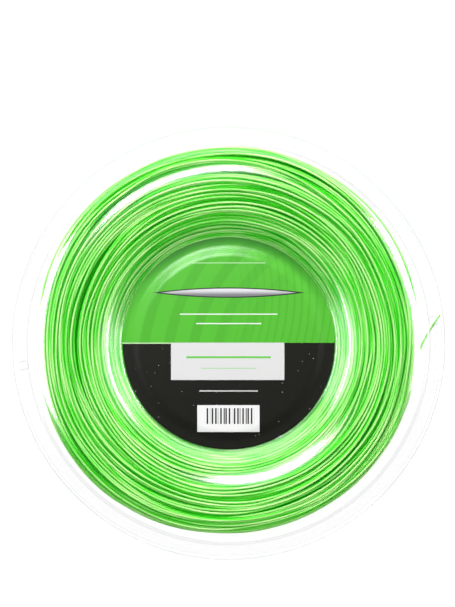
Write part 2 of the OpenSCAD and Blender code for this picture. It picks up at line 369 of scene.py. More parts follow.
def clear_half(name, s, flip, ring):
    """One clear half: its skin is spun from the outline, given its wall, its hub ring and its holes."""
    bm = bmesh.new()
    draw_outline(bm, shell_corners(s), s.arc_step)
    spin_round(bm, s.steps)
    # The skin is open at its rim, so its faces may all point down
    if min(bm.faces, key=lambda f: f.calc_center_median().length).normal.z < 0:
        bmesh.ops.reverse_faces(bm, faces=bm.faces)
    if flip:
        bmesh.ops.scale(bm, vec=(1, 1, -1), verts=bm.verts)
        bmesh.ops.reverse_faces(bm, faces=bm.faces)
    half = object_from(bm, name)
    wall = half.modifiers.new("wall", "SOLIDIFY")
    wall.thickness = s.wall
    wall.offset = -1
    wall.use_even_offset = True
    bake_modifiers(half)
    cut_or_join(half, spun_ring(name + "_ring", *ring, s.steps // 2), "UNION")
    for place in hole_places(s):
        bm = bmesh.new()
        bmesh.ops.create_cone(bm, cap_ends=True, segments=48, radius1=s.hole_d / 2, radius2=s.hole_d / 2,
                              depth=4 * s.rim_h, matrix=Matrix.Translation(place))
        cut_or_join(half, object_from(bm, "cutter"), "DIFFERENCE")
    half.data.name = name
    half.data.transform(Matrix.Translation((0, 0, MID_Z)))
    smooth(half.data, sharp_degrees=30)
    return half


def string_tube(name, points, diameter):
    """A round closed tube along points, as a mesh."""
    line = bpy.data.curves.new(name, "CURVE")
    line.dimensions = "3D"
    line.bevel_depth = diameter / 2
    line.bevel_resolution = 2
    line.use_fill_caps = True
    spline = line.splines.new("POLY")
    spline.points.add(len(points) - 1)
    places = np.hstack([points, np.ones((len(points), 1))])
    spline.points.foreach_set("co", places.astype(np.float32).ravel())
    maker = new_object(name + "_line", line)
    mesh = finished_mesh(maker)
    bpy.data.objects.remove(maker)
    bpy.data.curves.remove(line)
    smooth(mesh, sharp_degrees=60)
    mesh.name = name
    return new_object(name, mesh)


def mark_depth(mesh, depth):
    """Keeps how deep the string lies at each ring of its tube. The rings of the two caps come first."""
    rings = np.concatenate([[depth[-1], depth[0]], depth])
    sides = len(mesh.vertices) // len(rings)
    # This depth drives the string's painted shade
    layer = mesh.attributes.new("depth", "FLOAT", "POINT")
    layer.data.foreach_set("value", np.repeat(rings, sides).astype(np.float32))


# The string's routes

# The free end's points: distance from the axis, angle in degrees, and height above the mid-plane
FREE_END_ROUTE = [
    (0.1144, -60, -0.0080), (0.1144, -58.5, -0.0080), (0.1152, -54, -0.0079), (0.1159, -50, -0.0077),
    (0.1161, -46, -0.0072), (0.1162, -42, -0.0066), (0.1162, -38, -0.0060), (0.1163, -34, -0.0053),
    (0.1163, -30, -0.0046), (0.1164, -26, -0.0039), (0.1164, -22, -0.0032), (0.1165, -18, -0.0025),
    (0.1165, -14, -0.0018), (0.1166, -10, -0.0011), (0.1168, -6.5, -0.0006), (0.1174, -3.6, -0.0003),
    (0.1188, -1, -0.0001), (0.1208, 1, 0.0001), (0.1230, 2.8, 0.0006), (0.1252, 4.3, 0.0016),
    (0.1263, 5, 0.0025), (0.1272, 5.7, 0.0038), (0.1281, 6.25, 0.0050), (0.1290, 6.8, 0.0062),
    (0.1306, 7.7, 0.0080),
]

# Swells of the pack's outside: middle and half the width in degrees, and how far it stands out
PACK_SWELLS = [(100, 78, 0.0034), (-138, 48, 0.0021), (6, 36, -0.0014)]

# How fast the fill falls on the way out, and how fast and after what delay the turns come to stand off
FILL_EASING = 1.5
LOOSENING, LOOSENING_DELAY = 2.2, 0.1
# Bundles of turns that stand off together: turns to a knot of their noise, and lobes around the reel
THICK_BUNDLES = ((55, 1), (45, 2))
THIN_BUNDLES = ((12, 2), (9, 3))
# Knots to a turn of the noise by which single turns stand off and lie back, and the range of the latter
RIPPLE_KNOTS, DIP_KNOTS = 17, 15
DIP_RANGE = (-1.2, 1.5)
# Bridged gaps: where they start as a share of the turns, by how many turns that varies, half their width in
# radians, and the least share of their full size
GAP_STARTS = (0.2, 0.93)
GAP_SHIFT = 5
GAP_WIDTHS = (0.7, 1.1)
GAP_LEAST = 0.5
# Samples of the space from the hub out, and the rate to a turn at which the string settles to a new layer
SPACE_SAMPLES = 400
LAYER_RATE = 4
# Band next to a clear half in which the turns lie closer, and reach within which turns hide each other,
# both in string diameters
EDGE_BAND = 3
HIDING_REACH = 1.5
# Passes of smoothing for the string's way and for its depth
WAY_PASSES, DEPTH_PASSES = 6, 3
# Last turn, in turns before the free end: where it comes loose and lies on the pack again, and the run of
# each, the run in which it lifts, and the runs in which it sinks and comes in to where the free end starts
LOOSE_FROM, LOOSE_RISE = 0.90, 0.20
LOOSE_TO, LOOSE_FALL = 0.33, 0.10
LIFT_RUN = 0.10
SINK_RUN = 0.5
JOIN_RUN = 0.12
# Steps of the smooth curve between the free end's points
FREE_END_STEPS = 4


def smooth_route(points, steps):
    """A smooth curve through points, with a number of steps for each stretch."""
    padded = np.vstack([2 * points[0] - points[1], points, 2 * points[-1] - points[-2]])
    route = []
    for a, b, c, d in zip(padded, padded[1:], padded[2:], padded[3:]):
        for t in np.arange(steps) / steps:
            route.append(b + (c - a) * t / 2 + (2 * a - 5 * b + 4 * c - d) * t**2 / 2
                         + (3 * b - a - 3 * c + d) * t**3 / 2)
    return np.array(route + [points[-1]])


def polar(radius, turn, height):
    """Points at a distance and angle about the axis, and a height above the mid-plane."""
    return np.stack([radius * np.cos(turn), radius * np.sin(turn), MID_Z + height + 0 * turn], axis=-1)


def ease(t):
    """A smooth step from 0 to 1."""
    t = np.clip(t, 0, 1)
    return t * t * (3 - 2 * t)


def wander(rng, count, spacing, lowest=-1.0, highest=1.0):
    """Smooth noise along the string, between two values, with a knot every so many points."""
    knots = rng.uniform(lowest, highest, count // spacing + 4)
    at = np.arange(count) / spacing
    i = at.astype(int)
    t = at - i
    a, b, c, d = (knots[i + k] for k in range(4))
    return ((1 - t) ** 3 * a + (3 * t**3 - 6 * t**2 + 4) * b
            + (-3 * t**3 + 3 * t**2 + 3 * t + 1) * c + t**3 * d) / 6


def pack_swell(angles):
    """How far the pack's outside stands out at angles about the axis."""
    swell = np.zeros(len(angles))
    for middle, width, height in PACK_SWELLS:
        side = math.cos(math.radians(width))
        swell += height * ease((np.cos(angles - math.radians(middle)) - side) / (1 - side))
    return swell


def level_line(s, shell, line, last_r):
    """Radius that the winding has reached after each turn, as it fills less of the space further out."""
    r = np.linspace(shell.hub_d / 2 - shell.socket_inset, last_r, SPACE_SAMPLES)
    height = np.interp(r, line[:, 0], line[:, 1]) + s.diameter / 2
    share = s.fill_hub + (s.fill_out - s.fill_hub) * ease((r - r[0]) / (r[-1] - r[0]) * FILL_EASING)
    held = np.concatenate([[0], np.cumsum(share[1:] * 2 * height[1:] * np.diff(r))])
    return np.interp(np.linspace(0, held[-1], s.turns), held, r)


def bridged_gaps(s, rng, turn_at):
    """How far the string stands off where turns bridge a gap, which later turns fill up again."""
    stand = np.zeros(len(turn_at))
    turn = turn_at / math.tau
    for first in np.linspace(*GAP_STARTS, s.gaps) * s.turns:
        start = first + rng.uniform(-GAP_SHIFT, GAP_SHIFT)
        place, width = rng.uniform(0, math.tau), rng.uniform(*GAP_WIDTHS)
        window = ease((np.cos(turn_at - place) - np.cos(width)) / (1 - np.cos(width)))
        size = rng.uniform(GAP_LEAST, 1)
        stand += np.where(turn > start, window * size * s.gap * np.exp((start - turn) / s.gap_fade), 0)
    return stand


def stand_offs(s, rng, turn_at):
    """How far the string stands off the turns under it, and its share of a full dip, at each point."""
    count, stations = len(turn_at), s.stations
    stand = sum(
        size * wander(rng, count, stations * spacing)
        * np.cos(lobes * turn_at + np.pi * wander(rng, count, stations * spacing, -2, 2))
        for size, bundles in ((s.drift, THICK_BUNDLES), (s.bulge, THIN_BUNDLES)) for spacing, lobes in bundles
    )
    stand += s.ripple * wander(rng, count, stations // RIPPLE_KNOTS)
    return stand, np.clip(wander(rng, count, stations // DIP_KNOTS, *DIP_RANGE), 0, 1)


def resting_radii(tries, first_r, hub_wall, radii, heights, d):
    """Least radius at each tried height that is clear of the hub and of the turns laid before."""
    rest = np.maximum(first_r, np.interp(np.abs(tries), hub_wall[:, 1], hub_wall[:, 0]))
    if not len(radii):
        return rest
    offset = heights - tries[:, None]
    reach = np.sqrt(np.maximum(d * d - offset**2, 0)) + radii
    return np.maximum(rest, np.where(np.abs(offset) < d, reach, 0).max(axis=1))


def wound_turns(s, shell):
    """Lays the string turn by turn between the halves, each turn clear of those under it.

    The string goes up and down between the halves. At each station it takes, of a few heights next to
    where it should be, the one at which it can lie lowest, but no lower than it wants to stand off.
    Returns the radius and the height above the mid-plane at each station of each turn."""
    rng = np.random.default_rng(s.seed)
    turns, stations, d = s.turns, s.stations, s.diameter
    first_r = shell.hub_d / 2 - shell.socket_inset + s.hub_gap + d / 2
    last_r = s.pack_r - d / 2
    swell = pack_swell(math.radians(FREE_END_ROUTE[0][1]) + math.tau * np.arange(stations) / stations)
    line = inner_line(shell, shell.wall + s.face_gap + d / 2)
    crest = int(np.argmax(line[:, 1]))
    rising = line[:crest][line[:crest, 1] > 0]
    falling = line[crest:][line[crest:, 1] > shell.rim_h][::-1]
    level = level_line(s, shell, line, s.pack_r)
    turn_at = math.tau * np.arange(turns * stations) / stations
    stand, dip = stand_offs(s, rng, turn_at)
    gaps = {1: bridged_gaps(s, rng, turn_at), -1: bridged_gaps(s, rng, turn_at)}
    radii, heights = np.zeros((stations, turns)), np.zeros((stations, turns))
    slips = np.arange(-2, 3) * s.slip
    z = slip = margin = 0.0
    direction = 1
    limit = rising[0, 1]
    layer = layer_to = level[0]
    for turn in range(turns):
        loose = float(ease((level[turn] - first_r) / (last_r - first_r) * LOOSENING - LOOSENING_DELAY))
        late = float(ease((level[turn] - last_r) / s.swell_depth + 1))
        for station in range(stations):
            i = turn * stations + station
            edge = float(ease(1 - (limit - abs(z)) / (EDGE_BAND * d)))
            layer += (layer_to - layer) * LAYER_RATE / stations
            side = gaps[1 if z > 0 else -1][i] * ease(abs(z) / s.gap_depth)
            want = layer + loose * (stand[i] + side) + late * swell[station]
            want = min(want, last_r + swell[station], np.interp(abs(z), falling[:, 1], falling[:, 0]))
            aim = z - math.copysign(loose * edge * dip[i] * s.dip, z)
            tries = np.clip(aim + slip + slips, -limit, limit)
            rest = resting_radii(tries, first_r, rising, radii[station, :turn], heights[station, :turn], d)
            rest = np.maximum(rest, want)
            pick = int(np.argmin(rest + s.grip * np.abs(tries - aim)))
            slip = min(max(tries[pick] - aim, -s.slip_most), s.slip_most)
            radii[station, turn] = rest[pick]
            heights[station, turn] = tries[pick]
            limit = np.interp(rest[pick], line[:, 0], line[:, 1]) - loose * s.loose_gap
            z += direction * (s.pitch_mid + (s.pitch_face - s.pitch_mid) * edge) / stations
            if abs(z) > limit - margin and z * direction > 0:
                z = math.copysign(max(0, min(abs(z), limit)), z)
                direction = -direction
                layer_to = level[min(turn + round(2 * limit / (s.pitch_mid + s.pitch_face)), turns - 1)]
                margin = loose * d * abs(rng.normal(0, s.miss))
    return radii, heights


def buried_depth(s, radii, heights):
    """How deep each point of the string lies under the turns beside it, in string diameters."""
    depth = np.zeros(radii.shape)
    for station, (r, h) in enumerate(zip(radii, heights)):
        beside = np.abs(r[:, None] - r) < HIDING_REACH * s.diameter
        level = np.abs(h[:, None] - h) < HIDING_REACH * s.diameter
        front = np.where(beside, h, -1).max(axis=1) - h
        back = h - np.where(beside, h, 1).min(axis=1)
        outside = np.where(level, r, 0).max(axis=1) - r
        depth[station] = np.minimum(np.minimum(front, back), outside) / s.diameter
    return depth


def along(array, passes):
    """The values along the string, in order and lightly smoothed."""
    values = array.T.ravel().copy()
    for _ in range(passes):
        values[1:-1] = (values[:-2] + 2 * values[1:-1] + values[2:]) / 4
    return values


def string_route(s, shell):
    """Points of the wound string from the hub to where its free end starts, and how deep each lies."""
    radii, heights = wound_turns(s, shell)
    depth = along(buried_depth(s, radii, heights), DEPTH_PASSES)
    r = along(radii, WAY_PASSES)
    h = along(heights, WAY_PASSES)
    end_r, end_angle, end_h = FREE_END_ROUTE[0]
    start_turn = math.radians(end_angle)
    angle_at = start_turn + math.tau * np.arange(len(r)) / s.stations
    back = np.arange(len(r), 0, -1) / s.stations
    loose = ease((LOOSE_FROM - back) / LOOSE_RISE) * ease((back - LOOSE_TO) / LOOSE_FALL)
    last = back < 1
    r[last] = r[last] + loose[last] * np.maximum(0, s.loose_r - r[last])
    h = h + last * ease((LOOSE_FROM - back) / LIFT_RUN) * (s.loose_h - h)
    h = h + ease((SINK_RUN - back) / SINK_RUN) * (end_h - h)
    r = r + ease((JOIN_RUN - back) / JOIN_RUN) * (end_r - r)
    line = inner_line(shell, shell.wall + s.face_gap + s.diameter / 2)
    room = np.interp(r, line[:, 0], line[:, 1])
    h = np.clip(h, -room, room)
    points = polar(r, angle_at, h)
    end = polar(np.array([end_r]), np.array([start_turn]), end_h)
    return np.vstack([points, end]), np.append(depth, 0)


# Materials


class Graph:
    """Adds nodes to a material or the world and wires them."""

    def __init__(self, owner):
        owner.use_nodes = True
        self.tree = owner.node_tree
        self.tree.nodes.clear()

    def node(self, kind, **settings):
        """A new node with its settings."""
        node = self.tree.nodes.new(kind)
        for key, value in settings.items():
            setattr(node, key, value)
        return node

    def feed(self, socket, value):
        """Links one socket to another, or gives it a plain value."""
        if isinstance(value, bpy.types.NodeSocket):
            self.tree.links.new(value, socket)
        else:
            socket.default_value = value

    def set(self, node, **inputs):
        """Feeds a node's inputs by their names, written with _ for a space."""
        for key, value in inputs.items():
            self.feed(node.inputs[key.replace("_", " ")], value)
        return node

    def math(self, operation, a, b=0.0, c=0.0, clamp=False):
        """The result of one sum."""
        node = self.node("ShaderNodeMath", operation=operation, use_clamp=clamp)
        for socket, value in zip(node.inputs, (a, b, c)):
            self.feed(socket, value)
        return node.outputs[0]

    def distance(self, x, y):
        """Length of a vector from its two parts."""
        return self.math("SQRT", self.math("ADD", self.math("MULTIPLY", x, x), self.math("MULTIPLY", y, y)))

    def span(self, value, low, high, start=0.0, end=1.0, kind="LINEAR"):
        """A value between two limits, taken to another span and held at its ends."""
        node = self.node("ShaderNodeMapRange", clamp=True, interpolation_type=kind)
        self.set(node, Value=value, From_Min=low, From_Max=high, To_Min=start, To_Max=end)
        return node.outputs[0]

    def curve(self, value, low, high, start=0.0, end=1.0):
        """A span that eases in and out."""
        return self.span(value, low, high, start, end, "SMOOTHSTEP")

    def above(self, value, level, soft):
        """1 where a value is over a level, with a soft edge."""
        return self.span(value, level - soft, level + soft)

    def below(self, value, level, soft):
        """1 where a value is under a level, with a soft edge."""
        return self.span(value, level - soft, level + soft, 1.0, 0.0)

    def between(self, value, low, high, soft):
        """1 where a value lies between two levels, with soft edges."""
        return self.math("MULTIPLY", self.above(value, low, soft), self.below(value, high, soft))

    def mix(self, share, a, b):
        """A colour between two."""
        node = self.node("ShaderNodeMix", data_type="RGBA")
        self.feed(node.inputs[0], share)
        for socket, tone in ((node.inputs[6], a), (node.inputs[7], b)):
            self.feed(socket, tone if isinstance(tone, bpy.types.NodeSocket) else (*tone, 1))
        return node.outputs[2]

    def ramp(self, value, stops):
        """A colour that goes from stop to stop."""
        node = self.node("ShaderNodeValToRGB")
        spots = node.color_ramp.elements
        for position, _ in stops[1:-1]:
            spots.new(position)
        for spot, (position, tone) in zip(spots, stops):
            spot.position = position
            spot.color = (*tone, 1)
        return self.set(node, Fac=value).outputs["Color"]

    def place(self):
        """Place on the piece, in metres from the origin."""
        return self.node("ShaderNodeTexCoord").outputs["Object"]

    def parts(self, vector):
        """The three parts of a vector."""
        return list(self.set(self.node("ShaderNodeSeparateXYZ"), Vector=vector).outputs)

    def noise(self, vector, scale, detail=2.0):
        """Soft noise."""
        node = self.node("ShaderNodeTexNoise")
        return self.set(node, Vector=vector, Scale=scale, Detail=detail).outputs["Fac"]

    def bump(self, height, strength, distance):
        """Normal of a surface with fine relief."""
        node = self.node("ShaderNodeBump")
        return self.set(node, Height=height, Strength=strength, Distance=distance).outputs["Normal"]

    def surface(self, shader, output="ShaderNodeOutputMaterial"):
        """Sends a shader to the output."""
        self.tree.links.new(shader, self.node(output).inputs["Surface"])


# How close the streaks along the string are: around the reel, and to a metre outwards and up
STREAKS_ROUND, STREAKS_OUT, STREAKS_UP = 3.0, 600.0, 500.0
# The string's tone from pale to deep: what its streaks take off the deepest tone of a bare turn, and the
# painted shade that each string diameter of depth adds, up to the most
STREAK_TONE, BARE_TONE = -1.3, 0.83
BURIED_SHADE, BURIED_SHADE_MOST = 0.34, 1.5


def string_material(colours):
    """Smooth neon green string: its colour drifts along it, deepens with painted shade between other turns,
    and has a painted glow.
    """
    material = bpy.data.materials.new(STRING_FINISH)
    g = Graph(material)
    place = g.place()
    x, y, z = g.parts(place)
    far = g.distance(x, y)
    ring_x, ring_y = (g.math("MULTIPLY", g.math("DIVIDE", part, far), STREAKS_ROUND) for part in (x, y))
    ring = g.set(g.node("ShaderNodeCombineXYZ"), X=ring_x, Y=ring_y, Z=g.math("MULTIPLY", z, STREAKS_UP))
    streaks = g.node("ShaderNodeTexNoise", noise_dimensions="4D")
    g.set(streaks, Vector=ring.outputs[0], W=g.math("MULTIPLY", far, STREAKS_OUT), Scale=1.0, Detail=1.0)
    buried = g.node("ShaderNodeAttribute", attribute_name="depth").outputs["Fac"]
    tone = g.math("MULTIPLY_ADD", streaks.outputs["Fac"], STREAK_TONE, BARE_TONE)
    # Painted shade: the string darkens with how deep it lies between the turns
    tone = g.math("MULTIPLY_ADD", g.math("MINIMUM", buried, BURIED_SHADE_MOST), BURIED_SHADE, tone, clamp=True)
    base = g.ramp(tone, ((0, colours.string), (0.5, colours.string_mid_streaks_and_shade), (1, colours.string_deep_shade)))
    shader = g.node("ShaderNodeBsdfPrincipled")
    # Painted glow: the string's emission lightens it where it lies in shade
    g.set(shader, Base_Color=base, Roughness=0.34, IOR=1.5, Specular_IOR_Level=0.08,
          Normal=g.bump(g.noise(place, scale=400, detail=1), strength=0.06, distance=0.0001),
          Emission_Color=(*colours.string_painted_glow, 1), Emission_Strength=1.0)
    g.surface(shader.outputs[0])
    return material


def string_finish(colours):
    """The one finish that the wound string and its free end share."""
    return bpy.data.materials.get(STRING_FINISH) or string_material(colours)


# Painted shade on the bends of the rim and the holes' edges: half the width of their dark line, and its
# softness
BEND_HALF, LIP_END_HALF, BEND_SOFT = 0.0005, 0.0009, 0.0003
HOLE_EDGE_IN, HOLE_EDGE_OUT, HOLE_EDGE_SOFT = 0.0003, 0.0007, 0.0002
# The plastic's gloss is rougher in the hub's mouth: where that ends, and the two roughnesses
MOUTH_END = (0.0765, 0.0815)
MOUTH_ROUGH, FLANGE_ROUGH = 0.19, 0.13
# Share of the light that the plastic mirrors when seen straight on, and the powers by which the mirroring
# and the tint of its edges grow at a glance
MIRRORED = 0.04
MIRROR_POWER, EDGE_POWER = 5, 3


def clear_material(colours, s):
    """Clear glossy plastic that mirrors more at a glance, with painted shade in the rim's bends and round its
    holes.
    """
    material = bpy.data.materials.new("clear_plastic")
    g = Graph(material)
    place = g.place()
    waves = g.bump(g.noise(place, scale=22, detail=0), strength=0.02, distance=0.004)
    facing = g.set(g.node("ShaderNodeLayerWeight"), Blend=0.5).outputs["Facing"]
    tint = g.mix(g.math("POWER", facing, EDGE_POWER), tuple(colours.clear), tuple(colours.clear_edge))
    x, y, _ = g.parts(place)
    far = g.distance(x, y)
    foot, lip, lip_end = rim_radii(s)
    # Painted shade: dark lines where the rim bends and round the holes
    bends = 0.0
    for middle, half in (
        (foot + s.foot_r * math.tan(s.foot_slope / 2), BEND_HALF),
        (lip + s.lip_r * math.tan(s.lip_slope / 2), BEND_HALF),
        (lip_end, LIP_END_HALF),
    ):
        bends = g.math("ADD", g.between(far, middle - half, middle + half, BEND_SOFT), bends)
    for hole in hole_places(s):
        beside = g.distance(g.math("SUBTRACT", x, hole.x), g.math("SUBTRACT", y, hole.y))
        edge = g.between(beside, s.hole_d / 2 - HOLE_EDGE_IN, s.hole_d / 2 + HOLE_EDGE_OUT, HOLE_EDGE_SOFT)
        bends = g.math("ADD", edge, bends)
    tint = g.mix(bends, tint, tuple(colours.clear_bend_shade))
    film = g.set(g.node("ShaderNodeBsdfTransparent"), Color=tint)
    gloss = g.set(g.node("ShaderNodeBsdfGlossy"), Color=(1, 1, 1, 1), Normal=waves,
                  Roughness=g.span(far, *MOUTH_END, MOUTH_ROUGH, FLANGE_ROUGH))
    share = g.math("MULTIPLY_ADD", g.math("POWER", facing, MIRROR_POWER), 1 - MIRRORED, MIRRORED)
    shader = g.node("ShaderNodeMixShader")
    for socket, value in zip(shader.inputs, (share, film.outputs[0], gloss.outputs[0])):
        g.feed(socket, value)
    g.surface(shader.outputs[0])
    return material


# The labels' print, in metres from the middle: how soft its edges are
PRINT_SOFT = 0.00006
# Faint arcs: their middle, the step from one to the next, the share that is dark, and where they set in
FINE_ARCS = ((-0.075, 0.030), 0.0046, 0.30, (0.060, 0.130))
BROAD_ARCS = ((0.085, -0.020), 0.0150, 0.42, (0.055, 0.110))
ARC_SOFT = 0.03
# Painted shadow that deepens the green towards the label's top rim: where it sets in from the middle out, and
# from low to high
RIM_SHADOW, TOP_SHADOW = (0.0575, 0.0650), (0.012, 0.062)
# How much the arcs, the clouds and the painted rim shadow change the green
ARC_SHARE, CLOUD_SHARE, RIM_SHADOW_SHARE = 0.4, 0.25, 0.9
# Specks on the near-black half: cells to a metre, their size in a cell, the cells that have one, strength
SPECK_CELLS, SPECK_SIZE, SPECK_PICK, SPECK_SHARE = 420.0, 0.13, 0.86, 0.7
SPECK_SOFT, PICK_SOFT = 0.04, 0.01
SPECK_GREY = (0.35, 0.35, 0.35)
# Height above which the green half starts, and half the width of the dark band across the rear label
GREEN_FROM, REAR_BAND_HALF = 0.0003, 0.03
# The silver lens: its height, half its length and width, its dark outline, and where its shine turns
LENS_Y, LENS_HALF_LENGTH, LENS_HALF_WIDTH, LENS_OUTLINE = 0.0312, 0.047, 0.0032, 0.0007
LENS_SHINE = (0.0295, 0.0330)
LENS_EDGE_BLACK, LENS_LOW_GREY = (0.02, 0.02, 0.02), (0.16, 0.16, 0.17)
# Plain blocks and rules: left, right, low and high side, and their colour
LABEL_BLOCKS = (
    (-0.0225, 0.0225, 0.0492, 0.0498, (0.30, 0.52, 0.25)),
    (-0.0300, 0.0300, 0.0176, 0.0183, (0.62, 0.66, 0.60)),
    (-0.0200, 0.0200, 0.0118, 0.0125, (0.62, 0.66, 0.60)),
    (-0.0260, 0.0260, -0.0092, -0.0080, (0.11, 0.44, 0.06)),
    (-0.0170, 0.0170, -0.0157, -0.0151, (0.30, 0.50, 0.26)),
    (-0.0180, 0.0180, -0.0297, -0.0290, (0.50, 0.50, 0.50)),
    (-0.0193, 0.0190, -0.0546, -0.0381, (0.66, 0.66, 0.66)),
)
# Pale line at the left end of the halves' border, and the grey panel under the border
BORDER_LINE = (-0.0655, -0.0355, -0.0003, 0.0004)
BORDER_GREEN = (0.42, 0.60, 0.35)
PANEL = (-0.0355, 0.0343, -0.0226, 0.0004)
# Stripes that are no code: their block, and the two waves to a metre that space them
STRIPES = (-0.0147, 0.0165, -0.0497, -0.0399)
STRIPE_WAVES = (2300.0, 3700.0)
STRIPE_LEVEL, STRIPE_SOFT = 0.1, 0.2
STRIPE_BLACK = (0.03, 0.03, 0.03)
# Where the print bows up next to the hub's wall, and by how much
BOW, BOW_HEIGHT = (0.053, 0.061), 0.00085


def printed_block(g, x, y, sides):
    """1 inside a block of print."""
    left, right, low, high = sides
    return g.math("MULTIPLY", g.between(x, left, right, PRINT_SOFT), g.between(y, low, high, PRINT_SOFT))


def printed_arcs(g, x, y, middle, step, share, reach):
    """1 on faint arcs about a point beside the label, which set in with the distance from it."""
    far = g.distance(g.math("SUBTRACT", x, middle[0]), g.math("SUBTRACT", y, middle[1]))
    phase = g.math("FRACT", g.math("DIVIDE", far, step))
    return g.math("MULTIPLY", g.between(phase, 0.0, share, ARC_SOFT), g.curve(far, *reach))


def green_print(g, place, x, y, colours):
    """The green half, with faint arcs and a painted shadow along its top rim."""
    dark = tuple(colours.print_dark_green)
    motif = g.math("ADD", printed_arcs(g, x, y, *FINE_ARCS), printed_arcs(g, x, y, *BROAD_ARCS))
    green = g.mix(g.math("MULTIPLY", motif, ARC_SHARE, clamp=True), tuple(colours.print_green), dark)
    clouds = g.noise(place, scale=30, detail=3)
    green = g.mix(g.math("MULTIPLY", clouds, CLOUD_SHARE), green, dark)
    # Painted shadow along the label's top rim
    shade = g.math("MULTIPLY", g.curve(g.distance(x, y), *RIM_SHADOW), g.curve(y, *TOP_SHADOW))
    return g.mix(g.math("MULTIPLY", shade, RIM_SHADOW_SHARE), green, tuple(colours.print_rim_shadow))


def black_print(g, place, colours):
    """The near-black half, with sparse pale specks."""
    cells = g.set(g.node("ShaderNodeTexVoronoi"), Vector=place, Scale=SPECK_CELLS)
    pick = g.set(g.node("ShaderNodeSeparateColor"), Color=cells.outputs["Color"])
    specks = g.math("MULTIPLY", g.below(cells.outputs["Distance"], SPECK_SIZE, SPECK_SOFT),
                    g.above(pick.outputs[0], SPECK_PICK, PICK_SOFT))
    return g.mix(g.math("MULTIPLY", specks, SPECK_SHARE), tuple(colours.print_black), SPECK_GREY)


def front_marks(g, x, y, base, colours):
    """The front label's panel, silver lens, rules and stripes, laid over its two halves."""
    base = g.mix(printed_block(g, x, y, BORDER_LINE), base, BORDER_GREEN)
    base = g.mix(printed_block(g, x, y, PANEL), base, tuple(colours.print_grey))
    across = g.math("DIVIDE", g.math("ABSOLUTE", x), LENS_HALF_LENGTH)
    bow = g.math("SUBTRACT", 1.0, g.math("POWER", across, 2.0), clamp=True)
    off = g.math("ABSOLUTE", g.math("SUBTRACT", y, LENS_Y))
    inside = g.math("SUBTRACT", g.math("MULTIPLY", bow, LENS_HALF_WIDTH), off)
    base = g.mix(g.above(inside, 0.0, PRINT_SOFT), base, LENS_EDGE_BLACK)
    shine = g.mix(g.curve(y, *LENS_SHINE), LENS_LOW_GREY, tuple(colours.print_silver))
    base = g.mix(g.above(inside, LENS_OUTLINE, PRINT_SOFT), base, shine)
    for *sides, tone in LABEL_BLOCKS:
        base = g.mix(printed_block(g, x, y, sides), base, tone)
    waves = g.math("ADD", *(g.math("SINE", g.math("MULTIPLY", x, rate)) for rate in STRIPE_WAVES))
    stripes = g.math("MULTIPLY", g.above(waves, STRIPE_LEVEL, STRIPE_SOFT), printed_block(g, x, y, STRIPES))
    return g.mix(stripes, base, STRIPE_BLACK)


def label_material(name, colours, rear=False):
    """Glossy print, bowed up at its rim: a green half over a near-black half, and the front's marks."""
    material = bpy.data.materials.new(name)
    g = Graph(material)
    place = g.place()
    x, y, _ = g.parts(place)
    if rear:
        upper = g.math("SUBTRACT", 1.0, g.between(y, -REAR_BAND_HALF, REAR_BAND_HALF, PRINT_SOFT))
    else:
        upper = g.above(y, GREEN_FROM, PRINT_SOFT)
    base = g.mix(upper, black_print(g, place, colours), green_print(g, place, x, y, colours))
    if not rear:
        base = front_marks(g, x, y, base, colours)
    bow = g.node("ShaderNodeBump")
    g.set(bow, Height=g.curve(g.distance(x, y), *BOW, BOW_HEIGHT, 0.0), Strength=1.0, Distance=1.0,
          Normal=g.bump(g.noise(place, scale=35), strength=0.1, distance=0.002))
    shader = g.node("ShaderNodeBsdfPrincipled")
    g.set(shader, Base_Color=base, Roughness=0.22, IOR=1.5, Specular_IOR_Level=0.34,
          Normal=bow.outputs["Normal"])
    g.surface(shader.outputs[0])
    return material


# Faint clouds in the floor's white: their grey and how much of it shows
FLOOR_GREY, FLOOR_CLOUDS = (0.8, 0.8, 0.8), 0.04


def floor_material(colours):
    """Plain white floor: it throws back little and glows evenly instead, as a lit table does."""
    material = bpy.data.materials.new("pale_floor")
    g = Graph(material)
    clouds = g.math("MULTIPLY", g.noise(g.place(), scale=6), FLOOR_CLOUDS)
    base = g.mix(clouds, tuple(colours.floor), FLOOR_GREY)
    shader = g.node("ShaderNodeBsdfPrincipled")
    g.set(shader, Base_Color=base, Roughness=0.7, Emission_Color=(1, 1, 1, 1), Emission_Strength=1.13)
    g.surface(shader.outputs[0])
    return material


# Stage

# Height of the camera's film in millimetres, and the nearest distance that it sees in metres
FILM_HEIGHT, NEAREST = 36, 0.01
FLOOR_RADIUS = 6
# Lights that fill in or mirror from the sides: width and height of each kind
STRIP_SIZE, FILL_SIZE = (0.9, 0.44), (0.5, 0.3)
# Grey of the light from all round, by the upward part of its direction
SKY = ((0.0, 0.35), (0.35, 0.15), (0.6, 0.03), (1.0, 0.008))
# Layers of clear plastic that a ray may pass
CLEAR_LAYERS = 24


def white_floor(colours):
    """A round floor under the reel."""
    bm = bmesh.new()
    bmesh.ops.create_circle(bm, cap_ends=True, segments=96, radius=FLOOR_RADIUS)
    bmesh.ops.translate(bm, vec=(0, 0, CAD_BOX[0][2]), verts=bm.verts)
    floor = object_from(bm, "floor")
    floor.data.materials.append(floor_material(colours))
    return floor


def area_light(name, degrees, far, height, size, power, lights, mirrored):
    """A rectangular light that points at the middle of the reel."""
    lamp = bpy.data.lights.new(name, "AREA")
    lamp.shape = "RECTANGLE"
    lamp.size, lamp.size_y = size
    lamp.energy = power
    light = new_object(name, lamp)
    light.visible_diffuse = lights
    light.visible_glossy = mirrored
    turn = math.radians(degrees)
    light.location = (far * math.cos(turn), far * math.sin(turn), height)
    light.rotation_euler = (Vector((0, 0, MID_Z)) - light.location).to_track_quat("-Z", "Y").to_euler()


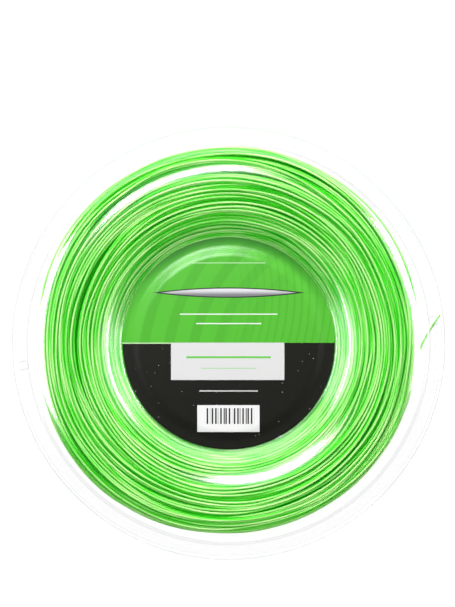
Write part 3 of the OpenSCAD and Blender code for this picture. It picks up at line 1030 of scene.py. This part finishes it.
def studio_world(strength):
    """The light from all round, which is brightest from low down."""
    world = bpy.data.worlds.new("studio")
    g = Graph(world)
    _, _, up = g.parts(g.node("ShaderNodeTexCoord").outputs["Generated"])
    sky = g.ramp(up, [(level, (grey, grey, grey)) for level, grey in SKY])
    light = g.set(g.node("ShaderNodeBackground"), Color=sky, Strength=strength)
    g.surface(light.outputs[0], "ShaderNodeOutputWorld")
    return world


# Operators


class REEL_OT_camera(bpy.types.Operator):
    """Makes the camera straight above the reel"""

    bl_idname = "string_reel.camera"
    bl_label = "Camera"

    def execute(self, context):
        studio = context.scene.reel_studio
        lens = bpy.data.cameras.new("camera")
        lens.sensor_fit = "VERTICAL"
        lens.sensor_height = FILM_HEIGHT
        lens.lens = FILM_HEIGHT * (studio.camera_height - studio.rim_level) / studio.view_height
        lens.clip_start = NEAREST
        camera = new_object("camera", lens)
        camera.location = (studio.camera_x, studio.camera_y, studio.camera_height)
        context.scene.camera = camera
        return {"FINISHED"}


class REEL_OT_free_end(bpy.types.Operator):
    """Makes the string's free end, which leaves the last turn and goes through the hole in the front rim"""

    bl_idname = "string_reel.free_end"
    bl_label = "Free end"

    def execute(self, context):
        s = context.scene.reel_string
        knots = np.array([polar(np.float64(r), np.float64(math.radians(a)), h) for r, a, h in FREE_END_ROUTE])
        route = smooth_route(knots, FREE_END_STEPS)
        free_end = string_tube("string_free_end", route, s.diameter)
        free_end.data.materials.append(string_finish(context.scene.reel_colours))
        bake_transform(free_end)
        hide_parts("string_tail")
        return {"FINISHED"}


class REEL_OT_wound_string(bpy.types.Operator):
    """Makes the whole wound string, in pieces that follow on each other"""

    bl_idname = "string_reel.wound_string"
    bl_label = "Wound string"

    def execute(self, context):
        s = context.scene.reel_string
        route, depth = string_route(s, context.scene.reel_shell)
        run = float(np.linalg.norm(np.diff(route, axis=0), axis=1).sum())
        print(f"wound string: {run:.1f} m")
        cuts = np.linspace(0, s.turns, s.pieces + 1).astype(int) * s.stations
        for number, (start, end) in enumerate(zip(cuts, cuts[1:]), 1):
            piece = string_tube(f"string_turns_{number}", route[start:end + 1], s.diameter)
            mark_depth(piece.data, depth[start:end + 1])
            piece.data.materials.append(string_finish(context.scene.reel_colours))
            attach(piece, REAR)
            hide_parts("string_core", "string_winding")
        return {"FINISHED"}


class REEL_OT_clear_halves(bpy.types.Operator):
    """Makes the two clear halves of the reel"""

    bl_idname = "string_reel.clear_halves"
    bl_label = "Clear halves"

    def execute(self, context):
        s = context.scene.reel_shell
        material = clear_material(context.scene.reel_colours, s)
        socket_r = s.hub_d / 2 - s.socket_inset
        spigot_r = socket_r - s.socket_wall - s.fit_clearance
        floor_in = s.floor_h - s.wall
        into = s.wall / 2
        socket = (socket_r - s.socket_wall, socket_r, -floor_in - into, floor_in)
        spigot = (spigot_r - s.spigot_wall, spigot_r, s.spigot_end_gap - floor_in, floor_in + into)
        for name, body, node, flip, ring in (
            ("clear_front_half", FRONT, "front_shell", False, spigot),
            ("clear_rear_half", REAR, "rear_shell", True, socket),
        ):
            half = clear_half(name, s, flip, ring)
            half.data.materials.clear()
            half.data.materials.append(material)
            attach(half, body)
            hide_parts(node)
        return {"FINISHED"}


class REEL_OT_labels(bpy.types.Operator):
    """Prints the two labels"""

    bl_idname = "string_reel.labels"
    bl_label = "Labels"

    def execute(self, context):
        colours = context.scene.reel_colours
        for node, rear in (("front_label", False), ("rear_label", True)):
            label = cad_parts[node]
            label.data.materials.clear()
            label.data.materials.append(label_material(node + "_print", colours, rear))
        return {"FINISHED"}


class REEL_OT_stage(bpy.types.Operator):
    """Makes the floor, the lights and the world"""

    bl_idname = "string_reel.stage"
    bl_label = "Stage"

    def execute(self, context):
        scene = context.scene
        studio = scene.reel_studio
        floor = white_floor(scene.reel_colours)
        # Angle in degrees, distance from the axis, height, size, power, and whether it lights and is mirrored
        for light in (
            ("softbox", 110, 0.37, 1.2, (0.36, 0.17), studio.softbox_power, True, True),
            ("key", 98, 1.33, 0.56, (0.4, 0.3), studio.key_power, True, False),
            ("top", 94, 1.3, 0.65, (2.4, 0.8), studio.top_power, True, True),
            ("left_strip", 176, 0.98, 1.02, STRIP_SIZE, studio.strip_power, False, True),
            ("right_strip", 12, 0.98, 1.02, STRIP_SIZE, studio.strip_power, False, True),
            ("left_fill", 185, 1.15, 0.9, FILL_SIZE, studio.fill_power, True, False),
            ("right_fill", 5, 1.15, 0.9, FILL_SIZE, studio.fill_power, True, False),
        ):
            area_light(*light)
        scene.world = studio_world(studio.world_strength)
        scene.view_settings.view_transform = "Standard"
        scene.view_settings.exposure = studio.exposure
        scene.cycles.transparent_max_bounces = CLEAR_LAYERS
        return {"FINISHED"}


OPERATORS = (
    REEL_OT_camera,
    REEL_OT_free_end,
    REEL_OT_wound_string,
    REEL_OT_clear_halves,
    REEL_OT_labels,
    REEL_OT_stage,
)
PROPERTIES = {
    "reel_shell": ShellSizes,
    "reel_string": StringSizes,
    "reel_colours": Colours,
    "reel_studio": Studio,
}


class REEL_PT_panel(bpy.types.Panel):
    """Lists the reel's makers and their sizes"""

    bl_label = "String Reel"
    bl_idname = "REEL_PT_panel"
    bl_space_type = "VIEW_3D"
    bl_region_type = "UI"
    bl_category = "String Reel"

    def draw(self, context):
        for operator in OPERATORS:
            self.layout.operator(operator.bl_idname)
        for name in PROPERTIES:
            group = getattr(context.scene, name)
            column = self.layout.column()
            for key in group.__annotations__:
                column.prop(group, key)


CLASSES = (*PROPERTIES.values(), *OPERATORS, REEL_PT_panel)


def register():
    """Adds the classes, and the sizes and colours to the scene."""
    for cls in CLASSES:
        bpy.utils.register_class(cls)
    for name, cls in PROPERTIES.items():
        setattr(bpy.types.Scene, name, PointerProperty(type=cls))


def unregister():
    """Takes off what register adds."""
    for name in PROPERTIES:
        delattr(bpy.types.Scene, name)
    for cls in reversed(CLASSES):
        bpy.utils.unregister_class(cls)


def main():
    """Makes the reel and its stage, and prints the wound string's length."""
    register()
    bpy.ops.string_reel.camera()
    bpy.ops.string_reel.free_end()
    bpy.ops.string_reel.wound_string()
    bpy.ops.string_reel.clear_halves()
    bpy.ops.string_reel.labels()
    bpy.ops.string_reel.stage()


if __name__ == "__main__":
    main()
